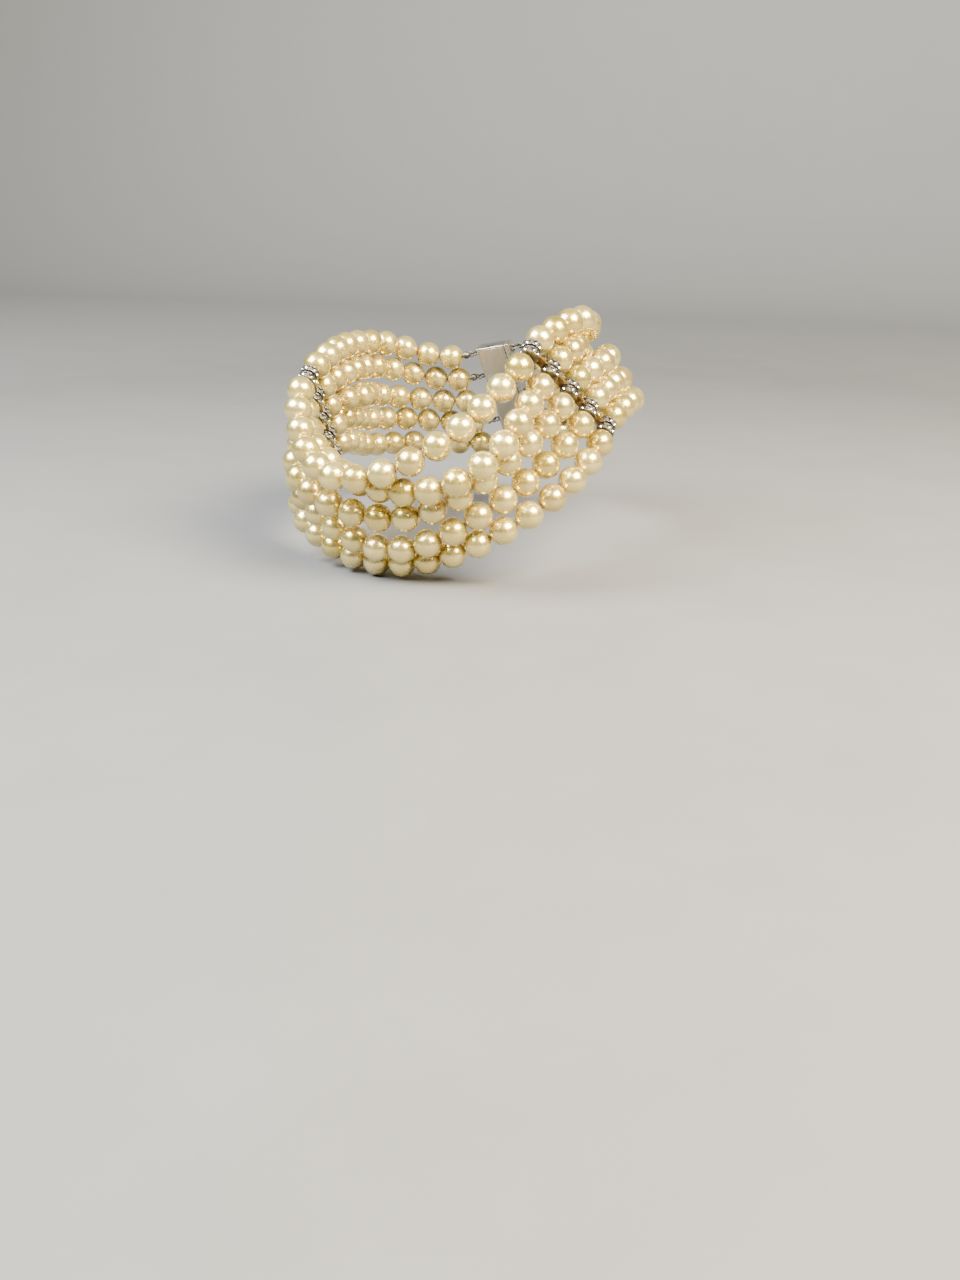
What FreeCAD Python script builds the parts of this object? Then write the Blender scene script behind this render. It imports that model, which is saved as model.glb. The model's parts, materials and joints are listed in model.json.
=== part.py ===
"""Five-strand pearl choker with two spacer bars, crystal rondelles and a box clasp.

Frame: origin at the centre of the neck opening, +Z up, the front of the choker towards -Y and
the clasp towards +Y; +X is the wearer's left. Lengths are in millimetres. Strand 1 is the top row.
Routes are given in pearl pitches, so the whole choker follows the size of its pearls.
"""
import FreeCAD, Part
import math
import os
import Sketcher

from FreeCAD import Vector

SHEET = "Sizes"
ROWS = 5
BACK_PEARLS = 10
STONES = 9  # around each rondelle
TABLE_SHARE = 0.6  # the flat top of a stone, as a share of its diameter
GIRDLE_SHARE = 0.55  # how far up a stone is at its widest

# alias: value in millimetres (or degrees where the name says so)
SIZES = {
    "pearl_diameter": 10.0,
    "pearl_gap": 0.15,
    "row_gap": 0.4,
    "drill_diameter": 1.1,
    "thread_diameter": 0.6,
    "strand_clearance": 0.2,
    "bar_width": 3.6,
    "bar_thickness": 0.7,
    "rondelle_diameter": 6.6,
    "rondelle_thickness": 2.4,
    "rondelle_flange": 0.4,
    "rondelle_web_diameter": 4.4,
    "seat_gap": 0.1,
    "stone_diameter": 1.5,
    "stone_gap": 0.02,
    "box_length": 12.0,
    "box_thickness": 5.0,
    "box_wall": 0.8,
    "clasp_gap": 0.5,
    "end_strip": 2.0,
    "clasp_edge": 2.6,
    "tongue_width": 5.0,
    "tongue_metal": 0.45,
    "tongue_reach": 6.0,
    "tongue_clearance": 0.6,
    "fold_radius": 0.3,
    "leaf_rise_degrees": 6.0,
    "catch_gap": 0.15,
    "lip_margin": 0.1,
    "tab_width": 2.4,
    "tab_height": 1.0,
    "tab_pad": 1.6,
    "loop_radius": 1.4,
    "loop_wire": 0.8,
    "ring_radius": 1.6,
    "ring_wire": 0.7,
    "tip_loop_radius": 1.0,
    "tip_wire": 0.6,
    "tip_radius": 1.5,
    "link_clearance": 0.08,
}

# The middle of each spacer bar, in pitches, the way it runs from row 1 down to row 5, the way its
# holes run (squared up to the bar in the code below), the ways that the first and the last strand
# lead off to the front, and the way that all of them lead off to the clasp.
BARS = {
    "right": {"middle": (5.1, -1.3, 1.25), "down": (0.50, 0.53, -0.68), "through": (0.05, 0.92, 0.40),
              "front": ((-0.32, -0.78, -0.54), (-0.05, -0.87, -0.49)), "back": (0.12, 0.95, 0.24)},
    "left": {"middle": (-4.6, -1.35, -0.25), "down": (-0.11, 0.58, -0.80), "through": (-0.06, 0.93, 0.33),
             "front": ((0.10, -0.89, -0.45), (-0.35, -0.86, -0.30)), "back": (-0.05, 0.96, 0.25)},
}
CLASP_MIDDLE = (0.0, 6.5, -0.3)
CLASP_DOWN = (0.0, 0.35, -0.94)
LEFT_TURNS_PER_RIGHT = 1.2  # the left half opens this many times as far as the right one

FRONT_PEARLS = (14, 15, 16, 17, 18)
# Points that each strand passes, in pitches, from the right bar round the front to the left bar.
FRONT_ROUTES = (
    ((3.45, -3.65, 1.5), (2.75, -5.1, 0.5), (1.4, -6.3, -0.5), (-0.4, -6.6, -1.2),
     (-2.3, -6.0, -1.1), (-3.45, -4.65, -0.2)),
    ((4.45, -3.55, 1.2), (4.15, -5.1, -0.05), (2.95, -6.1, -1.2), (1.0, -6.0, -1.6),
     (-0.9, -5.5, -1.55), (-2.6, -4.55, -1.3), (-3.95, -3.35, -0.4)),
    ((4.85, -2.85, 0.3), (3.85, -4.25, -0.7), (2.55, -5.3, -1.8), (0.8, -5.5, -2.55),
     (-1.2, -5.6, -2.5), (-3.05, -5.0, -2.05), (-4.3, -3.65, -1.4)),
    ((5.0, -2.05, -0.6), (4.3, -3.75, -1.6), (3.05, -4.85, -2.45), (1.4, -5.1, -3.55),
     (-0.5, -5.3, -3.85), (-2.25, -4.55, -3.35), (-4.0, -3.85, -2.65), (-4.9, -2.3, -1.85)),
    ((5.9, -1.75, -1.1), (5.1, -3.25, -2.1), (3.75, -4.3, -3.05), (2.0, -4.55, -3.95),
     (0.1, -4.6, -4.4), (-1.9, -4.35, -4.45), (-3.65, -3.45, -3.85), (-5.0, -2.15, -3.25)),
)
# The same from each bar to the clasp.
BACK_ROUTES = {
    "right": (
        ((4.4, -0.7, 3.15), (4.8, 1.2, 3.25), (4.75, 2.6, 2.95), (3.8, 4.2, 2.55), (2.7, 5.3, 2.3)),
        ((4.6, -0.2, 2.35), (4.7, 1.3, 2.25), (4.55, 2.8, 1.65), (3.9, 4.3, 1.35), (2.9, 5.6, 1.2)),
        ((5.3, 0.35, 1.8), (5.6, 1.8, 2.15), (5.4, 3.3, 2.3), (4.5, 4.9, 1.4), (3.2, 6.1, 0.6)),
        ((5.5, 0.9, 0.9), (5.5, 2.4, 1.1), (5.2, 4.0, 1.0), (4.3, 5.5, 0.4), (3.2, 6.5, -0.3)),
        ((6.1, 1.6, 0.3), (6.1, 3.1, 0.45), (5.7, 4.7, 0.1), (4.7, 6.2, -0.7), (3.4, 7.0, -1.4)),
    ),
    "left": (
        ((-4.6, 0.2, 1.95), (-4.65, 2.2, 1.95), (-4.2, 4.1, 1.75)),
        ((-4.6, 0.2, 0.9), (-4.6, 1.8, 1.0), (-4.5, 3.4, 0.9), (-3.6, 5.1, 0.6)),
        ((-4.4, 0.4, -0.1), (-4.5, 2.2, 0.0), (-4.6, 4.0, -0.3), (-3.4, 5.7, -0.5)),
        ((-4.8, 1.0, -1.1), (-5.0, 2.8, -1.1), (-4.7, 4.6, -1.3), (-3.3, 6.2, -1.5)),
        ((-5.0, 1.6, -1.9), (-5.3, 3.4, -2.2), (-4.9, 5.3, -2.5), (-3.4, 6.8, -2.5)),
    ),
}
SETTLING_ROUNDS = 800
EASING_ROUNDS = 120  # of them, those that also take the short waves out of the strands
EASING_STEP = 0.05  # how far each of those moves a pearl towards the calm line
NEAR_SHARE, FAR_SHARE = 2.0 / 3.0, -1.0 / 6.0  # of the next pearls and the ones after, in the calm line
SEARCH_EVERY = 10  # rounds between two searches for pearls that may touch
SEARCH_MARGIN = 1.5  # how much further than touching the search looks, in millimetres
LARGEST_BEND = math.radians(30.0)  # from one pearl to the next on a strand
THREAD_EASING = 1.0  # length of each thread arc on either side of its corner, in millimetres

doc = FreeCAD.newDocument("choker")
sheet = doc.addObject("Spreadsheet::Sheet", SHEET)
parts = []


# ---------------------------------------------------------------- sizes and document helpers

def fill_sheet():
    """Write every driving dimension into its own named cell."""
    for line, (alias, value) in enumerate(SIZES.items(), start=1):
        sheet.set("A%d" % line, alias.replace("_", " "))
        sheet.set("B%d" % line, str(value))
        sheet.setAlias("B%d" % line, alias)
    doc.recompute()


def size(alias):
    """The value of one cell of the sheet."""
    return float(getattr(sheet, alias))


def bind(obj, **expressions):
    """Bind properties of an object to expressions on the sheet's cells, each written as {alias}."""
    aliases = {alias: "%s.%s" % (SHEET, alias) for alias in SIZES}
    for name, text in expressions.items():
        obj.setExpression(name.replace("__", "."), text.format(**aliases))
    return obj


def primitive(kind, name, **expressions):
    """A Part primitive whose dimensions and place follow the sheet."""
    return bind(doc.addObject("Part::" + kind, name), **expressions)


def fused(name, pieces):
    result = doc.addObject("Part::MultiFuse", name)
    result.Shapes = pieces
    result.Refine = True
    return result


def cut(name, base, tools):
    result = doc.addObject("Part::Cut", name)
    result.Base = base
    result.Tool = tools[0] if len(tools) == 1 else fused(name + "_tools", tools)
    return result


def keep(obj, label):
    """Mark an object as one sub-part of the choker."""
    obj.Label = label
    parts.append(obj)
    return obj


def keep_solids(label, solids):
    """A sub-part made of separate solids that are placed in code."""
    node = doc.addObject("Part::Feature", label)
    node.Shape = Part.makeCompound(solids)
    node.Placement = FreeCAD.Placement()
    return keep(node, label)


def frame(origin, x_axis, y_axis, z_axis):
    return FreeCAD.Placement(origin, FreeCAD.Rotation(x_axis, y_axis, z_axis, "ZXY"))


def unit(vector):
    return vector / vector.Length


def square_to(vector, axis):
    """The part of a vector that is square to an axis, one long."""
    return unit(vector - axis * vector.dot(axis))


# ---------------------------------------------------------------- places

def pitch():
    return size("pearl_diameter") + size("pearl_gap")


def row_pitch():
    return size("pearl_diameter") + size("row_gap")


def at(point):
    """A place given in pearl pitches, in millimetres."""
    return Vector(*point) * pitch()


def bar_to_exit():
    """From the middle of a spacer bar to the outer face of its rondelles."""
    return size("bar_thickness") / 2.0 + size("seat_gap") + size("rondelle_thickness")


def bar_frame(side):
    """Middle, down, through and across directions of a spacer bar."""
    down = unit(Vector(*BARS[side]["down"]))
    through = square_to(Vector(*BARS[side]["through"]), down)
    return at(BARS[side]["middle"]), down, through, down.cross(through)


def row_offset(row):
    """How far below the middle row a row lies."""
    return (row - (ROWS - 1) / 2.0) * row_pitch()


def station(side, row):
    """Where a strand passes through a spacer bar."""
    middle, down, _, _ = bar_frame(side)
    return middle + down * row_offset(row)


def beside_rondelle(base, hole_way, way):
    """Centre of a pearl that rests on a rondelle while its strand leads off along way."""
    return base + way * ((size("pearl_diameter") / 2.0 + size("seat_gap")) / hole_way.dot(way))


def back_way(side):
    return unit(Vector(*BARS[side]["back"]))


def front_way(side, row):
    first, last = (Vector(*way) for way in BARS[side]["front"])
    return unit(first + (last - first) * (row / (ROWS - 1.0)))


def front_exit(side, row):
    return station(side, row) - bar_frame(side)[2] * bar_to_exit()


def back_exit(side, row):
    return station(side, row) + bar_frame(side)[2] * bar_to_exit()


def hinge(side):
    """A point and direction of the line that a back half swings about: the first pearls' centres."""
    middle, down, through, _ = bar_frame(side)
    return beside_rondelle(middle + through * bar_to_exit(), through, back_way(side)), down


def clasp_frame():
    """Middle, across (towards the right half), up and outward directions of the clasp.

    Across is the way in which the two halves first part, so that the tongue leaves the box straight.
    """
    middle = at(CLASP_MIDDLE)
    right_pivot, right_axis = hinge("right")
    left_pivot, left_axis = hinge("left")
    parting = right_axis.cross(middle - right_pivot)
    parting += left_axis.cross(middle - left_pivot) * LEFT_TURNS_PER_RIGHT
    across = unit(parting)
    up = square_to(Vector(*CLASP_DOWN) * -1.0, across)
    return middle, across, up, up.cross(across)


def clasp_half_length():
    return (size("box_length") + size("clasp_gap") + size("end_strip")) / 2.0


def link_places():
    """Distances from the clasp's end face to the centre of each link of a strand's fastening."""
    loop_wire = size("loop_wire") / 2.0
    ring_wire = size("ring_wire") / 2.0
    tip_wire = size("tip_wire") / 2.0
    clear = size("link_clearance")
    ring_hole = size("ring_radius") - ring_wire
    ring = size("loop_radius") - loop_wire - clear + ring_hole
    tip_loop = ring + ring_hole - clear - tip_wire + size("tip_loop_radius")
    tip = tip_loop + size("tip_loop_radius") + size("tip_radius") - tip_wire
    pearl = tip + size("tip_radius") + size("seat_gap") + size("pearl_diameter") / 2.0
    return ring, tip_loop, tip, pearl


def clasp_station(side, row):
    """Where a strand's fastening meets the clasp, and the way it leads off."""
    middle, across, up, _ = clasp_frame()
    lead = across if side == "right" else across * -1.0
    return middle + lead * clasp_half_length() - up * row_offset(row), lead


# ---------------------------------------------------------------- strands

def spread_along(points, count):
    """Points an equal way apart along a smooth curve through the given ones."""
    curve = Part.BSplineCurve()
    curve.interpolate(points)
    return curve.toShape().discretize(Number=count)


def laid_strands():
    """First places of all pearls: {name: [centres]}. The end pearls of each strand are in place."""
    strands = {}
    for row in range(ROWS):
        ends = {}
        for side in ("right", "left"):
            through = bar_frame(side)[2]
            ends[side] = beside_rondelle(front_exit(side, row), through * -1.0, front_way(side, row))
            start = beside_rondelle(back_exit(side, row), through, back_way(side))
            foot, lead = clasp_station(side, row)
            finish = foot + lead * link_places()[3]
            route = [start] + [at(point) for point in BACK_ROUTES[side][row]] + [finish]
            strands[side, row] = spread_along(route, BACK_PEARLS)
        route = [ends["right"]] + [at(point) for point in FRONT_ROUTES[row]] + [ends["left"]]
        strands["front", row] = spread_along(route, FRONT_PEARLS[row])
    return strands


def push(places, fixed, first, second, wanted):
    """Move two places along the line between them until they are the wanted way apart."""
    between = places[second] - places[first]
    length = between.Length
    share = 2.0 - fixed[first] - fixed[second]
    if share == 0.0 or length == 0.0:
        return
    step = between * ((length - wanted) / length / share)
    if not fixed[first]:
        places[first] = places[first] + step
    if not fixed[second]:
        places[second] = places[second] - step


def neighbours(places, pearls, linked, reach):
    """Pairs of pearls nearer than reach that aren't next to each other on a strand."""
    order = sorted(pearls, key=lambda index: places[index].x)
    pairs = []
    for position, first in enumerate(order):
        for second in order[position + 1:]:
            if places[second].x - places[first].x > reach:
                break
            if (min(first, second), max(first, second)) in linked:
                continue
            if (places[second] - places[first]).Length < reach:
                pairs.append((first, second))
    return pairs


def ease(places, fixed):
    """Move every free pearl towards the cubic through the two pearls on either side of it."""
    moves = []
    for place, held in enumerate(fixed):
        if not held:
            near = (places[place - 1] + places[place + 1]) * NEAR_SHARE
            far = (places[place - 2] + places[place + 2]) * FAR_SHARE
            moves.append((place, (near + far - places[place]) * EASING_STEP))
    for place, move in moves:
        places[place] = places[place] + move


def settled(strands):
    """Move the pearls until neighbours are one pitch apart, no strand kinks and no two pearls touch.

    The end pearls stay, and a point beyond each of them holds the way the strand leads there.
    """
    places, fixed, links, bends, pearls, index = [], [], [], [], [], {}
    for name, centres in strands.items():
        start, finish = strand_ends(name)
        first = len(places) + 1
        last = first + len(centres) - 1
        index[name] = (first, last)
        places.append(centres[0] - start * pitch())
        places.extend(centres)
        places.append(centres[-1] + finish * pitch())
        fixed.extend(place <= first or place >= last for place in range(first - 1, last + 2))
        links.extend((place, place + 1) for place in range(first, last))
        bends.extend((place, place + 2) for place in range(first - 1, last))
        pearls.extend(range(first, last + 1))
    linked = set(links)
    least_skip = 2.0 * pitch() * math.cos(LARGEST_BEND / 2.0)
    apart = size("pearl_diameter") + size("strand_clearance")
    pairs = []
    for turn in range(SETTLING_ROUNDS):
        if turn % SEARCH_EVERY == 0:
            pairs = neighbours(places, pearls, linked, apart + SEARCH_MARGIN)
        if turn < EASING_ROUNDS:
            ease(places, fixed)
        for first, second in bends:
            if (places[second] - places[first]).Length < least_skip:
                push(places, fixed, first, second, least_skip)
        for first, second in pairs:
            if (places[second] - places[first]).Length < apart:
                push(places, fixed, first, second, apart)
        for first, second in links:
            push(places, fixed, first, second, pitch())
    return {name: places[first:last + 1] for name, (first, last) in index.items()}


def thread_corners(centres, start, finish):
    """Corners of a thread that runs straight through each pearl and turns between them.

    start and finish are the directions of the strand at its two end pearls.
    """
    ways = [start]
    for number in range(1, len(centres) - 1):
        ways.append(unit(centres[number + 1] - centres[number - 1]))
    ways.append(finish)
    half = pitch() / 2.0
    corners = [centres[0] - start * half]
    for number in range(len(centres) - 1):
        here, there = centres[number], centres[number + 1]
        line = unit(there - here)
        leave = here + ways[number] * (half / ways[number].dot(line))
        arrive = there - ways[number + 1] * (half / ways[number + 1].dot(line))
        corners.append((leave + arrive) / 2.0)
    corners.append(centres[-1] + finish * half)
    return corners


def strand_ends(name):
    """Directions of a strand at its first and last pearl."""
    section, row = name
    if section == "front":
        return front_way("right", row), front_way("left", row) * -1.0
    return back_way(section), clasp_station(section, row)[1] * -1.0


def drilled_pearls(centres, corners):
    """A pearl at each centre, drilled along its run of the thread.

    The hole runs along the ball's own Y, clear of the ball's seam and poles.
    """
    pearls = []
    along = Vector(0, 1, 0)
    for centre, begin, end in zip(centres, corners[:-1], corners[1:]):
        turn = FreeCAD.Rotation(along, end - begin)
        beside = turn.inverted().multVec((begin + end) / 2.0 - centre)
        ball = Part.makeSphere(size("pearl_diameter") / 2.0)
        drill = Part.makeCylinder(size("drill_diameter") / 2.0, 2.0 * size("pearl_diameter"),
                                  beside - along * size("pearl_diameter"), along)
        pearl = ball.cut(drill)
        pearl.Placement = FreeCAD.Placement(centre, turn)
        pearls.append(pearl)
    return pearls


def thread_path(corners):
    """Straight runs joined by tangent arcs, as a wire, with its length and smallest radius."""
    edges, length, tightest = [], 0.0, math.inf
    here = corners[0]
    for before, corner, after in zip(corners[:-2], corners[1:-1], corners[2:]):
        arrive, leave = unit(corner - before), unit(after - corner)
        turn = arrive.getAngle(leave)
        start, finish = corner - arrive * THREAD_EASING, corner + leave * THREAD_EASING
        radius = THREAD_EASING / math.tan(turn / 2.0)
        inward = unit(leave - arrive)
        middle = corner + inward * (radius / math.cos(turn / 2.0) - radius)
        edges.append(Part.LineSegment(here, start).toShape())
        edges.append(Part.Arc(start, middle, finish).toShape())
        length += (start - here).Length + radius * turn
        tightest = min(tightest, radius)
        here = finish
    edges.append(Part.LineSegment(here, corners[-1]).toShape())
    length += (corners[-1] - here).Length
    return Part.Wire(edges), length, tightest


def thread(name, corners):
    """A round thread along its path; its volume is compared with its section times its length."""
    path, length, tightest = thread_path(corners)
    way = unit(corners[1] - corners[0])
    radius = size("thread_diameter") / 2.0
    profile = Part.Wire(Part.makeCircle(radius, corners[0], way))
    tube = path.makePipeShell([profile], True, False)
    expected = math.pi * radius ** 2 * length
    print("%s: length %.1f, smallest radius %.1f, volume ratio %.4f"
          % (name, length, tightest, tube.Volume / expected))
    return tube


def add_strands():
    """All pearls and threads: front strands and both back halves."""
    for name, centres in settled(laid_strands()).items():
        section, row = name
        start, finish = strand_ends(name)
        corners = thread_corners(centres, start, finish)
        label = "%s_%d" % (section, row + 1)
        keep_solids("pearls_" + label, drilled_pearls(centres, corners))
        run = list(corners)
        if section == "front":
            run[0] = front_exit("right", row)
            run[-1] = front_exit("left", row)
            run = [back_exit("right", row)] + run + [back_exit("left", row)]
        else:
            run[0] = run[0] + start * size("seat_gap")
            run[-1] = run[-1] + finish * size("tip_radius")
        keep_solids("thread_" + label, [thread("thread_" + label, run)])


# ---------------------------------------------------------------- spacer bars and rondelles

def add_spacer_bar(side):
    """A flat strip with round ends and one hole for each strand."""
    middle, down, through, _ = bar_frame(side)
    across = down.cross(through)
    span = "(%d * ({pearl_diameter} + {row_gap}))" % (ROWS - 1)
    strip = primitive("Box", "strip_" + side, Length="{bar_width}", Width=span, Height="{bar_thickness}",
                      Placement__Base__x="-{bar_width} / 2", Placement__Base__y="-%s / 2" % span)
    blanks = [strip]
    for sign, end in ((-1, "low"), (1, "high")):
        blanks.append(primitive("Cylinder", "strip_%s_%s" % (end, side), Radius="{bar_width} / 2",
                                Height="{bar_thickness}", Placement__Base__y="%d * %s / 2" % (sign, span)))
    holes = []
    for row in range(ROWS):
        place = "%g * ({pearl_diameter} + {row_gap})" % (row - (ROWS - 1) / 2.0)
        holes.append(primitive("Cylinder", "hole_%d_%s" % (row + 1, side), Radius="{drill_diameter} / 2",
                               Height="3 * {bar_thickness}", Placement__Base__y=place,
                               Placement__Base__z="-{bar_thickness}"))
    bar = cut("bar_" + side, fused("blank_" + side, blanks), holes)
    bar.Placement = frame(middle - through * (size("bar_thickness") / 2.0), across * -1.0, down, through)
    keep(bar, "spacer_bar_" + side)


def polygon_sketch(body, name, plane, corners):
    """A closed outline on one of the body's own planes; each corner is a pair of expressions."""
    sketch = body.newObject("Sketcher::SketchObject", name)
    origin_plane = [item for item in body.Origin.OriginFeatures if item.Role == plane][0]
    sketch.AttachmentSupport = (origin_plane, [""])
    sketch.MapMode = "FlatFace"
    aliases = {alias: "%s.%s" % (SHEET, alias) for alias in SIZES}
    texts = [tuple(text.format(**aliases) for text in corner) for corner in corners]
    spots = [Vector(*[float(sketch.evalExpression(text)) for text in pair]) for pair in texts]
    for number, spot in enumerate(spots):
        following = spots[(number + 1) % len(spots)]
        sketch.addGeometry(Part.LineSegment(spot, following))
    for number in range(len(spots)):
        sketch.addConstraint(Sketcher.Constraint("Coincident", number, 2, (number + 1) % len(spots), 1))
    for number, (spot, pair) in enumerate(zip(spots, texts)):
        for kind, value, text in (("DistanceX", spot.x, pair[0]), ("DistanceY", spot.y, pair[1])):
            which = sketch.addConstraint(Sketcher.Constraint(kind, -1, 1, number, 1, value))
            sketch.setExpression("Constraints[%d]" % which, text)
    return sketch


def revolved(name, corners):
    """A PartDesign body turned about its own Z from a half outline (radius, height)."""
    body = doc.addObject("PartDesign::Body", name)
    sketch = polygon_sketch(body, name + "_outline", "XZ_Plane", corners)
    turn = body.newObject("PartDesign::Revolution", name + "_turn")
    turn.Profile = sketch
    turn.ReferenceAxis = (sketch, ["V_Axis"])
    turn.Angle = 360.0
    body.Tip = turn
    doc.recompute()
    return body


def rondelle_body():
    """A ring with a flange at each face and a channel between them that holds the stones."""
    bore, rim, web = "{drill_diameter} / 2", "{rondelle_diameter} / 2", "{rondelle_web_diameter} / 2"
    top, low, high = "{rondelle_thickness}", "{rondelle_flange}", "{rondelle_thickness} - {rondelle_flange}"
    return revolved("rondelle", [(bore, "0"), (rim, "0"), (rim, low), (web, low),
                                 (web, high), (rim, high), (rim, top), (bore, top)])


def stone_body():
    """A round crystal: a girdle, a bevelled crown and a flat table."""
    girdle, table = "{stone_diameter} / 2", "{stone_diameter} / 2 * %g" % TABLE_SHARE
    tall = "(({rondelle_diameter} - {rondelle_web_diameter}) / 2 - {stone_gap})"
    crown = "%s * %g" % (tall, GIRDLE_SHARE)
    return revolved("stone", [("0", "0"), (girdle, "0"), (girdle, crown), (table, tall), ("0", tall)])


def add_rondelles():
    """Ten rondelles on each bar, five on each face, and the stones around each of them."""
    ring, stone = rondelle_body(), stone_body()
    seat = size("bar_thickness") / 2.0 + size("seat_gap")
    foot = size("rondelle_web_diameter") / 2.0 + size("stone_gap")
    for side in ("right", "left"):
        _, down, through, across = bar_frame(side)
        for face, way in (("front", through * -1.0), ("back", through)):
            rings, stones = [], []
            for row in range(ROWS):
                base = station(side, row) + way * seat
                ring_copy = ring.Shape.copy()
                ring_copy.Placement = frame(base, down, way.cross(down), way)
                rings.append(ring_copy)
                for number in range(STONES):
                    angle = 2.0 * math.pi * (number + 0.5) / STONES
                    outward = down * math.cos(angle) + way.cross(down) * math.sin(angle)
                    spot = base + way * (size("rondelle_thickness") / 2.0) + outward * foot
                    stone_copy = stone.Shape.copy()
                    stone_copy.Placement = frame(spot, way, outward.cross(way), outward)
                    stones.append(stone_copy)
            keep_solids("rondelles_%s_%s" % (side, face), rings)
            keep_solids("stones_%s_%s" % (side, face), stones)


# ---------------------------------------------------------------- clasp
# Its own axes: X from the box towards the tongue plate, Y outwards from the neck, Z up.

HALF = "(({box_length} + {clasp_gap} + {end_strip}) / 2)"
MOUTH = "(%s - {end_strip} - {clasp_gap})" % HALF  # the face of the box that the tongue enters
TALL = "(%d * ({pearl_diameter} + {row_gap}) + 2 * {clasp_edge})" % (ROWS - 1)
BASE = "(-{box_thickness} / 2 + {box_wall} + {tongue_clearance})"  # under side of the tongue
FOLD_X = "(%s - {tongue_reach})" % MOUTH
FOLD_Y = "(%s + {tongue_metal} + {fold_radius})" % BASE
LIP = "(%s + {fold_radius} + {tongue_metal} + {lip_margin})" % FOLD_Y  # the edge the leaf catches on


def block(name, low_x, high_x, low_y, high_y, wide):
    """A box between two X places and two Y places, wide along Z about the middle."""
    return primitive("Box", name, Length="%s - %s" % (high_x, low_x), Width="%s - %s" % (high_y, low_y),
                     Height=wide, Placement__Base__x=low_x, Placement__Base__y=low_y,
                     Placement__Base__z="-%s / 2" % wide)


def in_clasp(obj, label):
    """Put a finished clasp piece in its place on the choker."""
    middle, across, up, outward = clasp_frame()
    obj.Placement = frame(middle, across, outward, up)
    return keep(obj, label)


def add_box():
    """The box: a shell open towards the neck, with a mouth for the tongue, and the plate that closes it."""
    half_thick = "{box_thickness} / 2"
    outer = block("box_outer", "-" + HALF, MOUTH, "-%s" % half_thick, half_thick, TALL)
    hollow = block("box_hollow", "(-%s + {box_wall})" % HALF, "(%s - {box_wall})" % MOUTH,
                   "(-%s - {box_wall})" % half_thick, "(%s - {box_wall})" % half_thick,
                   "(%s - 2 * {box_wall})" % TALL)
    past = "(%s + {box_wall})" % MOUTH
    inside = "(%s - 2 * {box_wall})" % MOUTH
    floor = "(-%s + {box_wall})" % half_thick
    mouth = block("box_mouth", inside, past, floor, LIP, "({tongue_width} + 2 * {tongue_clearance})")
    roof = "(%s - {box_wall} - {catch_gap})" % half_thick
    notch = block("box_notch", inside, past, floor, roof, "({tab_width} + 2 * {tongue_clearance})")
    in_clasp(cut("box", outer, [hollow, mouth, notch]), "clasp_box")
    slack = "{stone_gap}"
    plate = block("box_plate", "(-%s + {box_wall} + %s)" % (HALF, slack),
                  "(%s - {box_wall} - %s)" % (MOUTH, slack), "-%s" % half_thick, floor,
                  "(%s - 2 * {box_wall} - 2 * %s)" % (TALL, slack))
    sheet_plate = doc.addObject("Part::Refine", "box_back")
    sheet_plate.Source = plate
    in_clasp(sheet_plate, "clasp_back_plate")


def add_tongue():
    """The other half: an end strip with the tongue on it, and the spring leaf folded over the tongue."""
    half_thick = "{box_thickness} / 2"
    near = "(%s - {end_strip})" % HALF
    strip = block("strip", near, HALF, "-" + half_thick, half_thick, TALL)
    tongue = block("tongue", FOLD_X, "(%s + {end_strip} / 2)" % near, BASE,
                   "(%s + {tongue_metal})" % BASE, "{tongue_width}")
    notch = block("strip_notch", "(%s - {clasp_gap})" % near, "(%s + {clasp_gap})" % HALF,
                  "(%s + {tongue_metal})" % BASE, "(%s + {clasp_gap})" % half_thick,
                  "({tab_width} + 2 * {tongue_clearance})")
    in_clasp(cut("strip_and_tongue", fused("strip_blank", [strip, tongue]), [notch]), "tongue_plate")
    in_clasp(leaf(), "tongue_leaf")


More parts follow.
